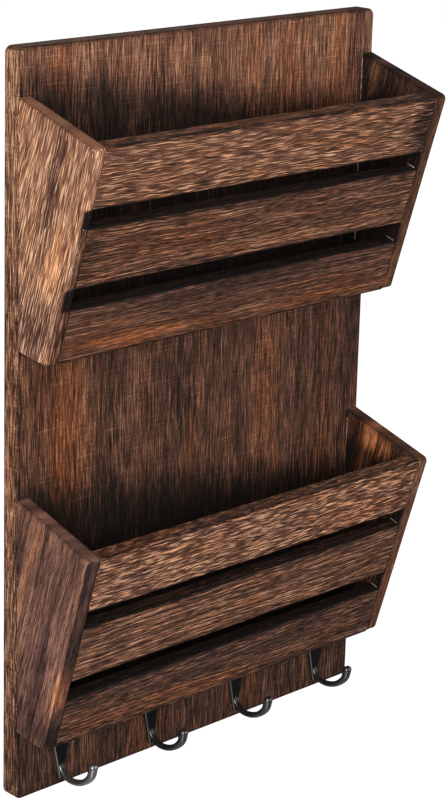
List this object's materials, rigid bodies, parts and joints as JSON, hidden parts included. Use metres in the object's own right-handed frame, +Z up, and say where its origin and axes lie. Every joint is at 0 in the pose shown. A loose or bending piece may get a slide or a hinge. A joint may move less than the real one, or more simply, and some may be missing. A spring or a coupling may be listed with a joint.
{
  "type": "wall mail organizer",
  "caption": "Wall-hung wooden mail organizer: a tall back board with slatted letter pockets one above the other and a row of metal key hooks along its foot.",
  "frame": {"origin": "midway between the two hanging keyholes, on the back board's back face", "axes": "+Z up, +X to the right of a person facing the organizer, +Y into the wall; the front faces -Y"},
  "size_m": [0.26, 0.0698, 0.41],
  "materials": {
    "back_board": "satin",
    "upper_left_cheek": "satin",
    "upper_right_cheek": "satin",
    "upper_top_slat": "satin",
    "upper_middle_slat": "satin",
    "upper_bottom_slat": "satin",
    "upper_floor": "satin",
    "lower_left_cheek": "satin",
    "lower_right_cheek": "satin",
    "lower_top_slat": "satin",
    "lower_middle_slat": "satin",
    "lower_bottom_slat": "satin",
    "lower_floor": "satin",
    "hook_metal": "satin black",
    "hook_screw_metal": "satin black",
    "screw_steel": "zinc plated"
  },
  "bodies": {
    "root": {"back_board": "back_board", "upper_left_cheek": "upper_left_cheek", "upper_right_cheek": "upper_right_cheek", "upper_top_slat": "upper_top_slat", "upper_middle_slat": "upper_middle_slat", "upper_bottom_slat": "upper_bottom_slat", "upper_floor": "upper_floor", "upper_pocket_screws": "screw_steel", "lower_left_cheek": "lower_left_cheek", "lower_right_cheek": "lower_right_cheek", "lower_top_slat": "lower_top_slat", "lower_middle_slat": "lower_middle_slat", "lower_bottom_slat": "lower_bottom_slat", "lower_floor": "lower_floor", "lower_pocket_screws": "screw_steel", "key_hook_1": "hook_metal", "key_hook_2": "hook_metal", "key_hook_3": "hook_metal", "key_hook_4": "hook_metal", "hook_screws": "hook_screw_metal"}
  },
  "joints": []
}
